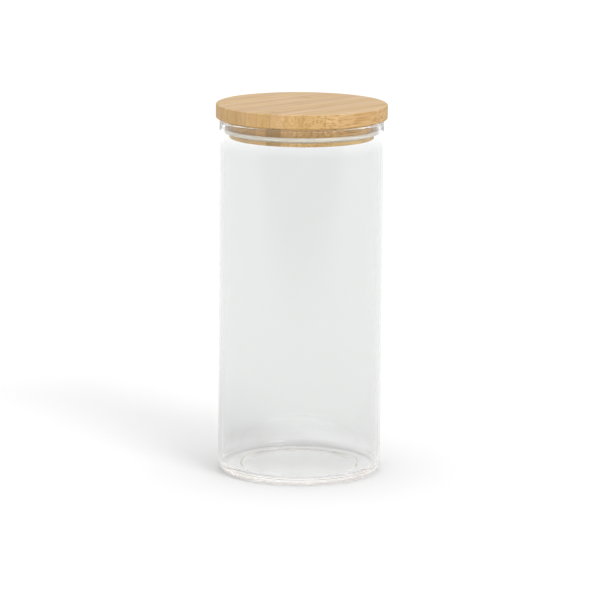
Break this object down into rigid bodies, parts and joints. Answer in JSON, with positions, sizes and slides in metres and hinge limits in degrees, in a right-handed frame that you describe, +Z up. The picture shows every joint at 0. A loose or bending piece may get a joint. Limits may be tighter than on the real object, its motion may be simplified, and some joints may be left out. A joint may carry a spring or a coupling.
{
  "type": "lidded glass canister",
  "caption": "Straight clear glass storage jar with a flat-topped bamboo lid, whose grooved plug carries a silicone seal that closes the mouth; the lid lifts off and turns.",
  "frame": {"origin": "on the jar's axis, at the plane that the jar stands on", "axes": "+Z up along the jar's axis, towards the lid; X and Y are level, and the lid's strips run 45.5 degrees from +X towards +Y"},
  "size_m": [0.1044, 0.1044, 0.2269],
  "materials": {
    "glass": "clear, smooth, fire-polished borosilicate glass",
    "silicone": "translucent white food-grade silicone, satin",
    "bamboo": "pale honey bamboo, sanded fine and oiled, side-pressed strips"
  },
  "bodies": {
    "jar": {"glass_jar": "glass"},
    "seal": {"seal_ring": "silicone"},
    "lid": {"lid_strip_01": "bamboo", "lid_strip_02": "bamboo", "lid_strip_03": "bamboo", "lid_strip_04": "bamboo", "lid_strip_05": "bamboo", "lid_strip_06": "bamboo", "lid_strip_07": "bamboo", "lid_strip_08": "bamboo", "lid_strip_09": "bamboo", "lid_strip_10": "bamboo", "lid_strip_11": "bamboo", "lid_strip_12": "bamboo", "lid_strip_13": "bamboo"}
  },
  "joints": [
    {"name": "lid_lift", "type": "slide", "parent": "jar", "child": "seal", "axis": [0, 0, 1], "range_m": [0, 0.12]},
    {"name": "lid_turn", "type": "hinge", "parent": "seal", "child": "lid", "pos_m": [0, 0, 0.2105], "axis": [0, 0, 1], "continuous": true}
  ]
}
